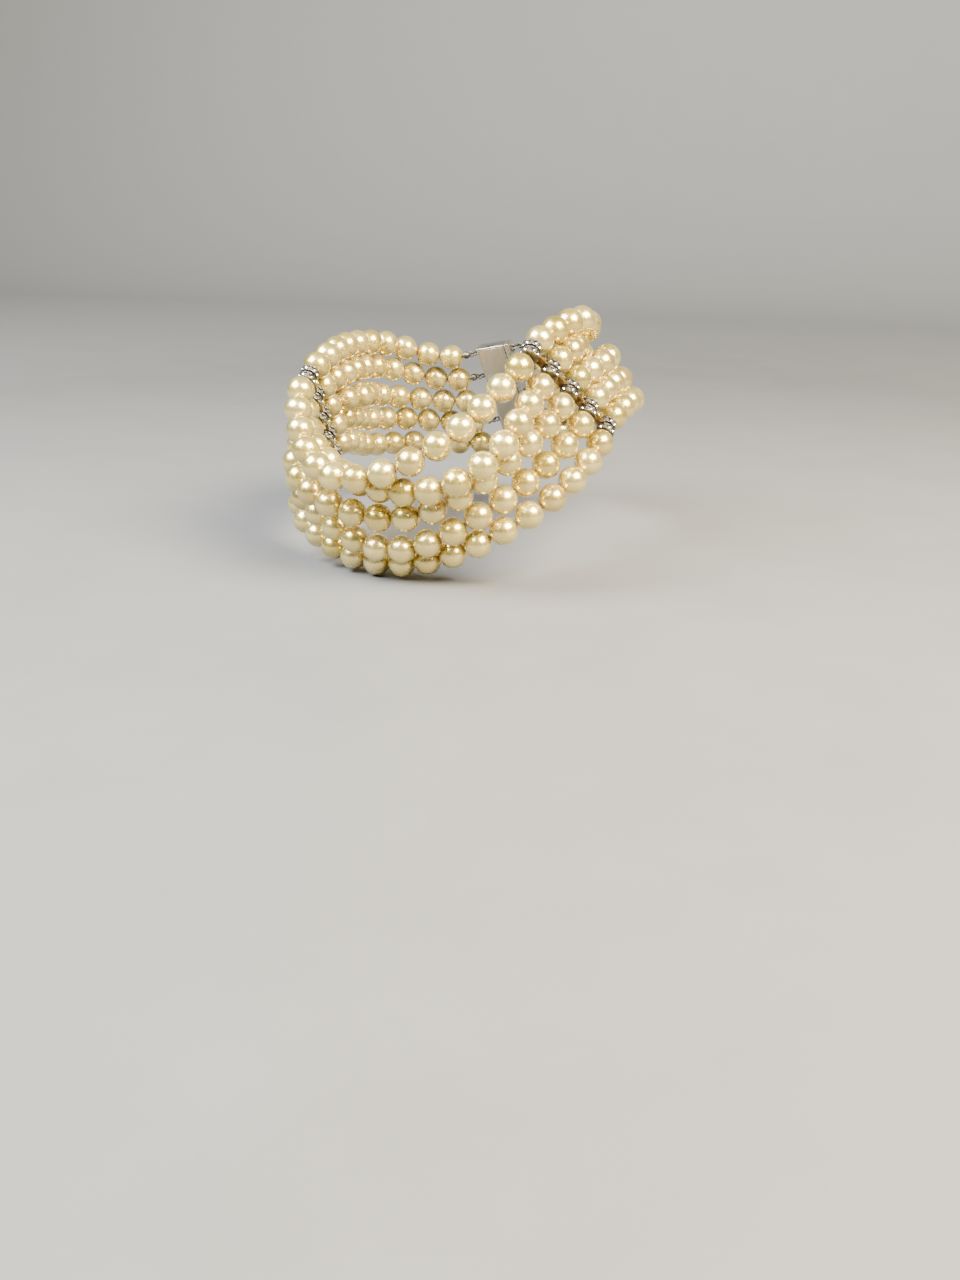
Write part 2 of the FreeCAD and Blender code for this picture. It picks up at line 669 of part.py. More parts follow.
def leaf():
    """The spring leaf: a fold, a rising leaf whose end catches behind the lip, and a thumb tab."""
    wide = "{tongue_width}"
    bend = primitive("Cylinder", "fold_outer", Radius="{fold_radius} + {tongue_metal}", Height=wide,
                     Placement__Base__x=FOLD_X, Placement__Base__y=FOLD_Y, Placement__Base__z="-{tongue_width} / 2")
    bore = primitive("Cylinder", "fold_bore", Radius="{fold_radius}", Height="2 * {tongue_width}",
                     Placement__Base__x=FOLD_X, Placement__Base__y=FOLD_Y, Placement__Base__z="-{tongue_width}")
    beyond = block("fold_beyond", FOLD_X, "(%s + {tongue_reach})" % FOLD_X, "(%s - {box_thickness})" % FOLD_Y,
                   "(%s + {box_thickness})" % FOLD_Y, "(2 * {tongue_width})")
    fold = cut("fold", bend, [bore, beyond])
    reach = "({tongue_reach} - {box_wall} - {catch_gap})"
    top = "(%s + {fold_radius})" % FOLD_Y
    flat = primitive("Box", "leaf_flat", Length=reach, Width="{tongue_metal}", Height=wide,
                     Placement__Base__x=FOLD_X, Placement__Base__y=top, Placement__Base__z="-{tongue_width} / 2")
    step = primitive("Box", "tab_step", Length="(%s + {box_wall} + {catch_gap} + {clasp_gap})" % reach,
                     Width="{tongue_metal}", Height="{tab_width}", Placement__Base__x=FOLD_X,
                     Placement__Base__y=top, Placement__Base__z="-{tab_width} / 2")
    for piece in (flat, step):
        bind(piece, Placement__Rotation__Angle="{leaf_rise_degrees}")
        piece.Placement.Rotation.Axis = Vector(0, 0, 1)
    stand_x = "(%s + {clasp_gap} / 2)" % MOUTH
    above = "({box_thickness} / 2 + {tab_height})"
    step_y = "(%s + {tongue_reach} * tan({leaf_rise_degrees} * 1 deg))" % top
    stand = block("tab_stand", stand_x, "(%s + {tongue_metal})" % stand_x, step_y, above, "{tab_width}")
    pad = block("tab_pad", stand_x, "(%s + {tab_pad})" % stand_x, "(%s - {tongue_metal})" % above, above,
                "{tab_width}")
    return fused("leaf", [fold, flat, step, stand, pad])


def link_shapes():
    """The loop, jump ring and bead tip that one strand end hangs by, each about its own origin."""
    loop = primitive("Torus", "loop", Radius1="{loop_radius}", Radius2="{loop_wire} / 2")
    loop.Angle3 = 180.0
    ring = primitive("Torus", "ring", Radius1="{ring_radius}", Radius2="{ring_wire} / 2")
    eye = primitive("Torus", "eye", Radius1="{tip_loop_radius}", Radius2="{tip_wire} / 2")
    ball_y = "{tip_loop_radius} + {tip_radius} - {tip_wire} / 2"
    ball = primitive("Sphere", "ball", Radius="{tip_radius}", Placement__Base__y=ball_y)
    drill = primitive("Box", "ball_hole", Length="{drill_diameter}", Width="2 * {tip_radius}",
                      Height="{drill_diameter}", Placement__Base__x="-{drill_diameter} / 2",
                      Placement__Base__y=ball_y, Placement__Base__z="-{drill_diameter} / 2")
    tip = cut("tip", fused("tip_blank", [eye, ball]), [drill])
    doc.recompute()
    return loop.Shape, ring.Shape, tip.Shape


def add_fastenings():
    """A loop on the clasp, a jump ring and a bead tip for every strand end."""
    loop, ring, tip = link_shapes()
    _, _, up, outward = clasp_frame()
    ring_at, eye_at = link_places()[:2]
    for side in ("right", "left"):
        made = {"clasp_loops": [], "jump_rings": [], "bead_tips": []}
        for row in range(ROWS):
            foot, lead = clasp_station(side, row)
            side_way = lead.cross(up)
            for name, shape, place, across, normal in (
                    ("clasp_loops", loop, 0.0, up, up.cross(lead)),
                    ("jump_rings", ring, ring_at, side_way, up),
                    ("bead_tips", tip, eye_at, up, up.cross(lead))):
                copy = shape.copy()
                along = normal.cross(across)
                copy.Placement = frame(foot + lead * place, across, along, normal)
                made[name].append(copy)
        for name, solids in made.items():
            keep_solids("%s_%s" % (name, side), solids)


# ---------------------------------------------------------------- checking and writing

def check_document():
    """Stop if any object failed or any sub-part is empty or not valid."""
    doc.recompute()
    for obj in doc.Objects:
        if "Invalid" in obj.State or "Error" in obj.State:
            raise RuntimeError("failed object: %s %s" % (obj.Name, obj.State))
    for part in parts:
        if part.Shape.isNull() or not part.Shape.isValid() or not part.Shape.Solids:
            raise RuntimeError("bad shape: " + part.Label)


def write_parts():
    os.makedirs("parts", exist_ok=True)
    for part in parts:
        part.Shape.exportStep(os.path.join("parts", part.Label + ".step"))


def report():
    """Print the joint axes and the whole size."""
    middle, across, up, outward = clasp_frame()
    fold_x = clasp_half_length() - size("end_strip") - size("clasp_gap") - size("tongue_reach")
    fold_y = (-size("box_thickness") / 2.0 + size("box_wall") + size("tongue_clearance")
              + size("tongue_metal") + size("fold_radius"))
    fold = middle + across * fold_x + outward * fold_y
    lines = (("swing_right", hinge("right")[0], hinge("right")[1]),
             ("swing_left", hinge("left")[0], hinge("left")[1] * -1.0),
             ("latch_press", fold, up * -1.0), ("clasp", middle, across))
    for name, point, axis in lines:
        print("JOINT %s %.4f %.4f %.4f axis %.6f %.6f %.6f" % (name, point.x, point.y, point.z, axis.x, axis.y, axis.z))
    box = Part.makeCompound([part.Shape for part in parts]).BoundBox
    print("nodes %d, solids %d" % (len(parts), sum(len(part.Shape.Solids) for part in parts)))
    print("box", box)


fill_sheet()
add_strands()
for bar_side in ("right", "left"):
    add_spacer_bar(bar_side)
add_rondelles()
add_box()
add_tongue()
add_fastenings()
check_document()
write_parts()
report()
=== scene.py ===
"""Five-strand pearl choker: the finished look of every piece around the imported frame."""

import json
import math
import random

import bpy
import numpy as np
from mathutils import Matrix, Vector


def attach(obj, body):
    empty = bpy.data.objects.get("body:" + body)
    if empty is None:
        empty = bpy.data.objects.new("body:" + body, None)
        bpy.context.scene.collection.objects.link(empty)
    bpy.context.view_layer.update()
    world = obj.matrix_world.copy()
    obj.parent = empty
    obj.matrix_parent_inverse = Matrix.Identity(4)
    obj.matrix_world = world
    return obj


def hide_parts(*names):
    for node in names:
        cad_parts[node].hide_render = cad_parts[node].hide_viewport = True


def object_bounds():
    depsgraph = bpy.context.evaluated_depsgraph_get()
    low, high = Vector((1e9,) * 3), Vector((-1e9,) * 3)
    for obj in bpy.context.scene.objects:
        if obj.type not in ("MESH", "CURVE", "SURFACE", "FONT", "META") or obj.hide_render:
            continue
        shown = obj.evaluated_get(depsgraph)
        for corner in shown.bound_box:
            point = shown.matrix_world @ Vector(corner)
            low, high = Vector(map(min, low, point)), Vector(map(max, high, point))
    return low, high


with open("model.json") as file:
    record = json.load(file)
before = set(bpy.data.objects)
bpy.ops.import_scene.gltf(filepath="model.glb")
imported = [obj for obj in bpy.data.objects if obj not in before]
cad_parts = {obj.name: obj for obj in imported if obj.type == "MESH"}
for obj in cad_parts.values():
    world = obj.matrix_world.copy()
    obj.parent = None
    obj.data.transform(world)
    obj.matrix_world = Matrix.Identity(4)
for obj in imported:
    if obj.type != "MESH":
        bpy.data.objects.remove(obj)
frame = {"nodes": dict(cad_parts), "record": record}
cad_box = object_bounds()

MM = 0.001
ROWS = 5
STONES = 9  # around each rondelle
RIM_POINTS = 6 * STONES  # around a rondelle: two scallops to a stone

PEARL_RADIUS = 5.0 * MM
DRILL_RADIUS = 0.55 * MM
BAR_WIDTH = 3.6 * MM
BAR_THICKNESS = 0.7 * MM
BAR_SPAN = 41.6 * MM  # between the first and the last hole
RONDELLE_RADIUS = 3.3 * MM
RONDELLE_THICKNESS = 2.4 * MM
FLANGE = 0.4 * MM
WEB_RADIUS = 2.2 * MM
STONE_RADIUS = 0.75 * MM
STONE_SLACK = 0.02 * MM
CHANNEL = RONDELLE_THICKNESS - 2.0 * FLANGE
SEAT_RADIUS = 1.1 * MM  # the shallow seat for a pearl round each rondelle's hole
SEAT_DEPTH = 0.12 * MM
SCALLOP_SHARE = 0.94  # the rim between two scallops
PEARL_SEGMENTS, PEARL_RINGS = 40, 20
MOUTH_WIDENING = 1.25  # of the hole's mouth
MOUTH_DEPTH = 0.12 * MM
MOUTH_DROP = 0.02 * MM  # of its rim below the ball's own surface
BAR_BEVEL = 0.16 * MM
RIM_BEVEL = 0.08 * MM
PRONG_RADIUS = 0.2 * MM
PRONG_WAIST = 1.25  # a prong is fuller halfway up
LOOP_RADIUS, LOOP_WIRE = 1.4 * MM, 0.4 * MM
RING_RADIUS, RING_WIRE = 1.6 * MM, 0.35 * MM
TIP_LOOP_RADIUS, TIP_WIRE = 1.0 * MM, 0.3 * MM
TIP_RADIUS = 1.5 * MM

BODY_OF_SECTION = {"front": "choker", "right": "back_right", "left": "back_left"}


# ---------------------------------------------------------------- working on meshes

def only(*objects):
    """Select these objects and nothing else; the first becomes the active one."""
    bpy.ops.object.select_all(action="DESELECT")
    for item in objects:
        item.select_set(True)
    bpy.context.view_layer.objects.active = objects[0]


def edit(item, kind="VERT"):
    """Go into edit mode with nothing selected."""
    only(item)
    bpy.ops.object.mode_set(mode="EDIT")
    bpy.ops.mesh.select_mode(type=kind)
    bpy.ops.mesh.select_all(action="DESELECT")


def leave():
    bpy.ops.object.mode_set(mode="OBJECT")


def pick(item, kind, test):
    """In edit mode: select the vertices, edges or faces whose place passes the test."""
    leave()
    mesh = item.data
    for group in (mesh.vertices, mesh.edges, mesh.polygons):
        group.foreach_set("select", np.zeros(len(group), bool))
    if kind == "VERT":
        for vertex in mesh.vertices:
            vertex.select = test(vertex.co)
    elif kind == "EDGE":
        for edge in mesh.edges:
            edge.select = all(test(mesh.vertices[number].co) for number in edge.vertices)
    else:
        for face in mesh.polygons:
            face.select = test(face)
    bpy.ops.object.mode_set(mode="EDIT")
    bpy.ops.mesh.select_mode(type=kind)


def finish_with(item, kind, **settings):
    """Add a modifier and apply it."""
    only(item)
    modifier = item.modifiers.new(kind.lower(), kind)
    for name, value in settings.items():
        setattr(modifier, name, value)
    bpy.ops.object.modifier_apply(modifier=modifier.name)


def break_edges(item, width, segments, degrees):
    """Bevel every edge that turns by more than so many degrees."""
    finish_with(item, "BEVEL", width=width, segments=segments, limit_method="ANGLE",
                angle_limit=math.radians(degrees))


def smooth(item, degrees):
    only(item)
    bpy.ops.object.shade_smooth_by_angle(angle=math.radians(degrees))


def outwards(item):
    edit(item)
    bpy.ops.mesh.select_all(action="SELECT")
    bpy.ops.mesh.remove_doubles(threshold=1e-7)
    bpy.ops.mesh.normals_make_consistent(inside=False)
    leave()


def named(name):
    made = bpy.context.active_object
    made.name = name
    made.data.name = name
    return made


def settle(item):
    """Put the object's place into its mesh."""
    only(item)
    bpy.ops.object.transform_apply(location=True, rotation=True, scale=True)


def mark(item, name, value):
    """Give every face of a mesh the same number."""
    layer = item.data.attributes.new(name, "FLOAT", "FACE")
    layer.data.foreach_set("value", np.full(len(item.data.polygons), value, np.float32))


def placed(master, name, place, **marks):
    """A copy of a finished master piece, with its own mesh, put in place."""
    copy = master.copy()
    copy.data = master.data.copy()
    copy.name = name
    bpy.context.collection.objects.link(copy)
    copy.data.transform(place)
    for mark_name, value in marks.items():
        mark(copy, mark_name, value)
    return copy


def joined(name, items):
    only(*items)
    if len(items) > 1:
        bpy.ops.object.join()
    return named(name)


def remove(*items):
    for item in items:
        bpy.data.objects.remove(item, do_unlink=True)


def axes(origin, x, y, z):
    """The place whose own X, Y and Z point along x, y and z."""
    place = Matrix((x, y, z)).transposed().to_4x4()
    place.translation = origin
    return place


def finished(item, body, node, finish):
    """Hand a piece over: its finish, the body it rides on and the node it stands for."""
    item.data.materials.clear()
    item.data.materials.append(finish)
    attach(item, body)
    if node:
        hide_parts(node)
    return item


# ---------------------------------------------------------------- places taken from the frame

def solids_of(node):
    """The separate solids of a node: for each, its points, its face centres and its face normals."""
    source = frame["nodes"][node]
    copy = source.copy()
    copy.data = source.data.copy()
    copy.parent = None
    bpy.context.collection.objects.link(copy)
    copy.matrix_world = Matrix.Identity(4)
    edit(copy)
    bpy.ops.mesh.select_all(action="SELECT")
    bpy.ops.mesh.remove_doubles(threshold=1e-6)
    bpy.ops.mesh.separate(type="LOOSE")
    leave()
    found = []
    for item in list(bpy.context.selected_objects):
        mesh = item.data
        points = np.empty(len(mesh.vertices) * 3)
        mesh.vertices.foreach_get("co", points)
        centres, normals = np.empty(len(mesh.polygons) * 3), np.empty(len(mesh.polygons) * 3)
        mesh.polygons.foreach_get("center", centres)
        mesh.polygons.foreach_get("normal", normals)
        found.append((points.reshape(-1, 3), centres.reshape(-1, 3), normals.reshape(-1, 3)))
        remove(item)
    return found


def middle_of(points):
    return Vector((points.min(0) + points.max(0)) / 2.0)


def in_order(spots):
    return sorted(spots, key=lambda spot: tuple(round(value, 5) for value in spot))


def middles(node):
    return in_order(middle_of(points) for points, _, _ in solids_of(node))


def joint_axis(name):
    found = [joint for joint in frame["record"]["behaviour"]["joints"] if joint["name"] == name]
    return Vector(found[0]["axis"]).normalized()


def mean(spots):
    return sum(spots, Vector()) / len(spots)


def bore_axis(centre, face_centres, face_normals):
    """The direction of the hole through a pearl, from the walls of the hole."""
    inner = np.linalg.norm(face_centres - np.array(centre), axis=1) < PEARL_RADIUS / 2.0
    walls = face_normals[inner]
    square = walls[np.argmin(np.abs(walls @ walls[0]))]
    return Vector(np.cross(walls[0], square)).normalized()


# ---------------------------------------------------------------- finishes

class Value:
    """A number on its way through a finish; sums of values add Math nodes."""

    def __init__(self, finish, socket):
        self.finish, self.socket = finish, socket

    def joined_by(self, operation, first, second):
        return self.finish.node("ShaderNodeMath", {"operation": operation}, {0: first, 1: second})

    def __add__(self, other):
        return self.joined_by("ADD", self, other)

    def __radd__(self, other):
        return self.joined_by("ADD", other, self)

    def __mul__(self, other):
        return self.joined_by("MULTIPLY", self, other)

    def __rmul__(self, other):
        return self.joined_by("MULTIPLY", other, self)


class Finish:
    """One material: its nodes, and the surface they feed."""

    def __init__(self, name):
        self.material = bpy.data.materials.new(name)
        self.material.use_nodes = True
        self.tree = self.material.node_tree
        self.surface = self.tree.nodes["Principled BSDF"]
        self.place = self.node("ShaderNodeTexCoord", {}, {}, "Object")

    def node(self, kind, settings, inputs, output=0):
        """A node of any kind: its settings first, then the values or links of its sockets."""
        made = self.tree.nodes.new(kind)
        for name, value in settings.items():
            if name == "stops":
                self.set_stops(made.color_ramp, value)
            else:
                setattr(made, name, value)
        for socket, value in inputs.items():
            self.feed(made.inputs[socket], value)
        return Value(self, made.outputs[output])

    def feed(self, socket, value):
        if isinstance(value, Value):
            self.tree.links.new(value.socket, socket)
        else:
            socket.default_value = value

    def set_stops(self, ramp, stops):
        while len(ramp.elements) < len(stops):
            ramp.elements.new(1.0)
        for element, (spot, colour) in zip(ramp.elements, stops):
            element.position, element.color = spot, colour

    def set(self, **sockets):
        """Feed the surface's own sockets: Base_Color stands for Base Color."""
        for name, value in sockets.items():
            self.feed(self.surface.inputs[name.replace("_", " ")], value)
        return self

    def noise(self, scale, detail=2.0, roughness=0.5):
        return self.node("ShaderNodeTexNoise", {}, {"Vector": self.place, "Scale": scale,
                                                    "Detail": detail, "Roughness": roughness}, "Fac")

    def number(self, attribute):
        return self.node("ShaderNodeAttribute", {"attribute_name": attribute}, {}, "Fac")

    def stretched(self, value, low, high, to_low=0.0, to_high=1.0):
        """value from low..high brought to to_low..to_high and kept inside it."""
        return self.node("ShaderNodeMapRange", {"clamp": True},
                         {"Value": value, "From Min": low, "From Max": high,
                          "To Min": to_low, "To Max": to_high})

    def blend(self, share, first, second):
        """first where share is 0 and second where it is 1, for colours."""
        return self.node("ShaderNodeMix", {"data_type": "RGBA"}, {0: share, 6: first, 7: second}, 2)

    def relief(self, height, strength, depth):
        return self.node("ShaderNodeBump", {}, {"Height": height, "Strength": strength,
                                                "Distance": depth}, "Normal")


def shade(red, green, blue):
    return (red, green, blue, 1.0)


def pearl_finish():
    """Nacre: champagne body with rosy and golden clouds, under a hard clear coat."""
    finish = Finish("pearl_nacre")
    tint = finish.number("tint")
    cloud = finish.noise(170.0, 3.0)
    veil = finish.noise(60.0, 1.0)
    skin = finish.noise(800.0, 2.0)
    grain = finish.noise(2600.0, 2.0)
    warm = finish.stretched(0.7 * tint + 0.6 * cloud, 0.35, 0.95)
    body = finish.blend(warm, shade(0.76, 0.615, 0.19), shade(0.56, 0.42, 0.08))
    rosy = finish.stretched(veil, 0.42, 0.62, 0.0, 0.3)
    body = finish.blend(rosy, body, shade(0.76, 0.58, 0.29))
    finish.set(Base_Color=body,
               Metallic=finish.stretched(cloud, 0.3, 0.7, 0.72, 0.84),
               Roughness=finish.stretched(skin, 0.3, 0.7, 0.20, 0.34),
               Coat_Weight=1.0, Coat_Roughness=0.1, Coat_IOR=1.8,
               Normal=finish.relief(skin + 0.3 * grain, 0.8, 0.12 * MM))
    return finish.material


def thread_finish():
    """Silk cord: ivory, with the fine lay of its plies."""
    finish = Finish("silk_thread")
    lay = finish.node("ShaderNodeTexWave", {"wave_type": "BANDS", "bands_direction": "DIAGONAL"},
                      {"Vector": finish.place, "Scale": 1400.0, "Distortion": 2.0, "Detail": 1.0}, "Fac")
    fluff = finish.noise(5000.0, 2.0)
    finish.set(Base_Color=finish.blend(finish.stretched(lay, 0.2, 0.8), shade(0.62, 0.52, 0.36),
                                       shade(0.80, 0.72, 0.56)),
               Roughness=finish.stretched(fluff, 0.3, 0.7, 0.6, 0.8),
               Normal=finish.relief(lay + 0.5 * fluff, 0.6, 0.05 * MM))
    return finish.material


def metal_finish(name, bright, tarnish, worn=0.5, polish=0.22, patch=2.4 * MM):
    """Plated metal with tarnish in patches and wherever the piece is marked as hollow."""
    finish = Finish(name)
    patches = finish.noise(1.0 / patch, 3.0, 0.5)
    scratches = finish.noise(3800.0, 3.0, 0.7)
    hollow = finish.number("hollow")
    dull = finish.stretched(patches + 0.8 * hollow, worn, worn + 0.4)
    finish.set(Base_Color=finish.blend(dull, bright, tarnish), Metallic=1.0,
               Roughness=finish.stretched(0.5 * scratches + 0.5 * dull, 0.2, 0.8, polish, polish + 0.25),
               Normal=finish.relief(scratches + 0.4 * patches, 0.25, 0.03 * MM))
    return finish.material


def crystal_finish():
    """Foil-backed cut stone with painted reflections: each facet gets a random painted brightness from near
    black to white, plus painted sparkle, standing in for the light it throws back.
    """
    finish = Finish("cut_crystal")
    facet = finish.number("facet")
    painted_sparkle_and_roughness = finish.noise(900.0, 1.0)
    # Painted reflection: each facet's base colour is its random brightness, from near black to white, with a
    # little painted sparkle mixed in.
    painted_reflection_colour = finish.node("ShaderNodeValToRGB",
                       {"stops": ((0.0, shade(0.04, 0.04, 0.045)), (0.45, shade(0.42, 0.42, 0.43)),
                                  (0.75, shade(0.86, 0.86, 0.88)), (1.0, shade(1.0, 0.98, 0.92)))},
                       {0: 0.8 * facet + 0.2 * painted_sparkle_and_roughness}, "Color")
    finish.set(Base_Color=painted_reflection_colour, Metallic=finish.stretched(facet, 0.2, 0.9, 0.55, 0.95),
               Roughness=finish.stretched(painted_sparkle_and_roughness, 0.3, 0.7, 0.03, 0.08),
               Coat_Weight=1.0, Coat_Roughness=0.01, Coat_IOR=1.6)
    return finish.material


# ---------------------------------------------------------------- pearls

def pearl_master():
    """A drilled pearl with a softened mouth at each end of its hole, standing along Z."""
    bpy.ops.object.select_all(action="DESELECT")
    bpy.ops.mesh.primitive_uv_sphere_add(segments=PEARL_SEGMENTS, ring_count=PEARL_RINGS, radius=PEARL_RADIUS)
    pearl = named("pearl_master")
    edit(pearl)
    near_pole = 0.999 * PEARL_RADIUS
    pick(pearl, "VERT", lambda spot: abs(spot.z) > near_pole)
    bpy.ops.mesh.delete(type="VERT")
    edge_angle = math.pi / PEARL_RINGS
    edge_radius, edge_height = PEARL_RADIUS * math.sin(edge_angle), PEARL_RADIUS * math.cos(edge_angle)
    lip_radius = MOUTH_WIDENING * DRILL_RADIUS
    lip_height = math.sqrt(PEARL_RADIUS ** 2 - DRILL_RADIUS ** 2) - MOUTH_DROP
    for sign in (1.0, -1.0):
        pick(pearl, "EDGE", lambda spot: sign * spot.z > 0.999 * edge_height)
        for radius, height, before_radius, before_height in (
                (lip_radius, lip_height, edge_radius, edge_height),
                (DRILL_RADIUS, lip_height - MOUTH_DEPTH, lip_radius, lip_height)):
            bpy.ops.mesh.extrude_region_move(
                TRANSFORM_OT_translate={"value": (0.0, 0.0, sign * (height - before_height))})
            share = radius / before_radius
            bpy.ops.transform.resize(value=(share, share, 1.0), center_override=(0.0, 0.0, 0.0))
    inside = 1.01 * DRILL_RADIUS
    pick(pearl, "EDGE", lambda spot: math.hypot(spot.x, spot.y) < inside)
    bpy.ops.mesh.bridge_edge_loops()
    leave()
    outwards(pearl)
    smooth(pearl, 40.0)
    return pearl


def add_pearls(finish):
    """One piece for every strand section; each pearl has its own tint and its own turn on the thread."""
    draws = random.Random(7)
    master = pearl_master()
    for section, body in BODY_OF_SECTION.items():
        for row in range(1, ROWS + 1):
            node = "pearls_%s_%d" % (section, row)
            pearls = []
            for points, face_centres, face_normals in solids_of(node):
                centre = middle_of(points)
                pearls.append((centre, bore_axis(centre, face_centres, face_normals)))
            pearls.sort(key=lambda pearl: tuple(round(value, 5) for value in pearl[0]))
            items = []
            for number, (centre, way) in enumerate(pearls):
                turn = Matrix.Rotation(draws.uniform(0.0, math.tau), 4, "Z")
                place = Matrix.Translation(centre) @ way.to_track_quat("Z", "Y").to_matrix().to_4x4() @ turn
                items.append(placed(master, "pearl_%d" % number, place, tint=draws.random()))
            finished(joined("strand_%s_%d" % (section, row), items), body, node, finish)
    remove(master)


# ---------------------------------------------------------------- spacer bars, rondelles and stones

def bar_frames():
    """For each bar: its own axes, and the middles of its rondelles on each face."""
    found = {}
    for side, joint in (("right", "swing_right"), ("left", "swing_left")):
        faces = {face: middles("rondelles_%s_%s" % (side, face)) for face in ("front", "back")}
        down = joint_axis(joint)
        through = (mean(faces["back"]) - mean(faces["front"]))
        through = (through - down * through.dot(down)).normalized()
        found[side] = (down, through, faces)
    return found


def bar_master():
    """A strip with round ends, soft edges and a hole for every strand; its length runs along Y."""
    bpy.ops.object.select_all(action="DESELECT")
    bpy.ops.mesh.primitive_circle_add(vertices=48, radius=BAR_WIDTH / 2.0, fill_type="NOTHING")
    bar = named("bar_master")
    edit(bar)
    tiny = 0.01 * MM
    for sign in (1.0, -1.0):
        pick(bar, "VERT", lambda spot: sign * spot.y > tiny)
        bpy.ops.transform.translate(value=(0.0, sign * BAR_SPAN / 2.0, 0.0))
    bpy.ops.mesh.select_all(action="SELECT")
    bpy.ops.mesh.edge_face_add()
    bpy.ops.mesh.extrude_region_move(TRANSFORM_OT_translate={"value": (0.0, 0.0, BAR_THICKNESS)})
    bpy.ops.mesh.select_all(action="SELECT")
    bpy.ops.transform.translate(value=(0.0, 0.0, -BAR_THICKNESS / 2.0))
    leave()
    outwards(bar)
    drills = []
    for row in range(ROWS):
        spot = (row / (ROWS - 1.0) - 0.5) * BAR_SPAN
        bpy.ops.mesh.primitive_cylinder_add(vertices=24, radius=DRILL_RADIUS, depth=3.0 * BAR_THICKNESS,
                                            location=(0.0, spot, 0.0))
        drills.append(bpy.context.active_object)
    drill = joined("bar_drills", drills)
    settle(drill)
    finish_with(bar, "BOOLEAN", operation="DIFFERENCE", object=drill, solver="EXACT")
    remove(drill)
    break_edges(bar, BAR_BEVEL, 3, 50.0)
    smooth(bar, 30.0)
    return bar


def rondelle_master():
    """A ring with two scalloped flanges and a channel between them, standing along Z."""
    bpy.ops.object.select_all(action="DESELECT")
    bpy.ops.mesh.primitive_cylinder_add(vertices=RIM_POINTS, radius=WEB_RADIUS, depth=CHANNEL)
    ring = named("rondelle_master")
    edit(ring, "FACE")
    for sign in (1.0, -1.0):
        pick(ring, "FACE", lambda face: sign * face.center.z > 0.49 * CHANNEL)
        bpy.ops.mesh.extrude_region_move(TRANSFORM_OT_translate={"value": (0.0, 0.0, 0.0)})
        share = RONDELLE_RADIUS / WEB_RADIUS
        bpy.ops.transform.resize(value=(share, share, 1.0), center_override=(0.0, 0.0, 0.0))
        bpy.ops.mesh.extrude_region_move(TRANSFORM_OT_translate={"value": (0.0, 0.0, sign * FLANGE)})
        bpy.ops.mesh.inset(thickness=RONDELLE_RADIUS - SEAT_RADIUS)
        bpy.ops.mesh.extrude_region_move(TRANSFORM_OT_translate={"value": (0.0, 0.0, -sign * SEAT_DEPTH)})
        share = DRILL_RADIUS / SEAT_RADIUS
        bpy.ops.transform.resize(value=(share, share, 1.0), center_override=(0.0, 0.0, 0.0))
        bpy.ops.mesh.delete(type="FACE")
    pick(ring, "EDGE", lambda spot: math.hypot(spot.x, spot.y) < 1.01 * DRILL_RADIUS)
    bpy.ops.mesh.bridge_edge_loops()
    rim = 0.98 * RONDELLE_RADIUS
    step = math.tau / RIM_POINTS

    def valley(spot):
        place = round(math.atan2(spot.y, spot.x) / step)
        return math.hypot(spot.x, spot.y) > rim and place % 3 == 0

    pick(ring, "VERT", valley)
    bpy.ops.transform.resize(value=(SCALLOP_SHARE, SCALLOP_SHARE, 1.0), center_override=(0.0, 0.0, 0.0))
    leave()
    outwards(ring)
    break_edges(ring, RIM_BEVEL, 2, 40.0)
    smooth(ring, 40.0)
    mark(ring, "hollow", 0.0)
    hollow = ring.data.attributes["hollow"].data
    for face in ring.data.polygons:
        spot = face.center
        deep = abs(spot.z) < 0.49 * CHANNEL and math.hypot(spot.x, spot.y) < 1.2 * WEB_RADIUS
        hollow[face.index].value = 1.0 if deep else 0.15
    return ring


def prong_master():
    """A small post between two stones, standing along Z from flange to flange."""
    bpy.ops.object.select_all(action="DESELECT")
    bpy.ops.mesh.primitive_cylinder_add(vertices=8, radius=PRONG_RADIUS, depth=CHANNEL)
    prong = named("prong_master")
    edit(prong, "FACE")
    pick(prong, "FACE", lambda face: abs(face.center.z) < 0.1 * CHANNEL)
    bpy.ops.mesh.subdivide(number_cuts=2)
    pick(prong, "VERT", lambda spot: abs(spot.z) < 0.3 * CHANNEL)
    bpy.ops.transform.resize(value=(PRONG_WAIST, PRONG_WAIST, 1.0), center_override=(0.0, 0.0, 0.0))
    leave()
    outwards(prong)
    smooth(prong, 60.0)
    mark(prong, "hollow", 0.3)
    return prong


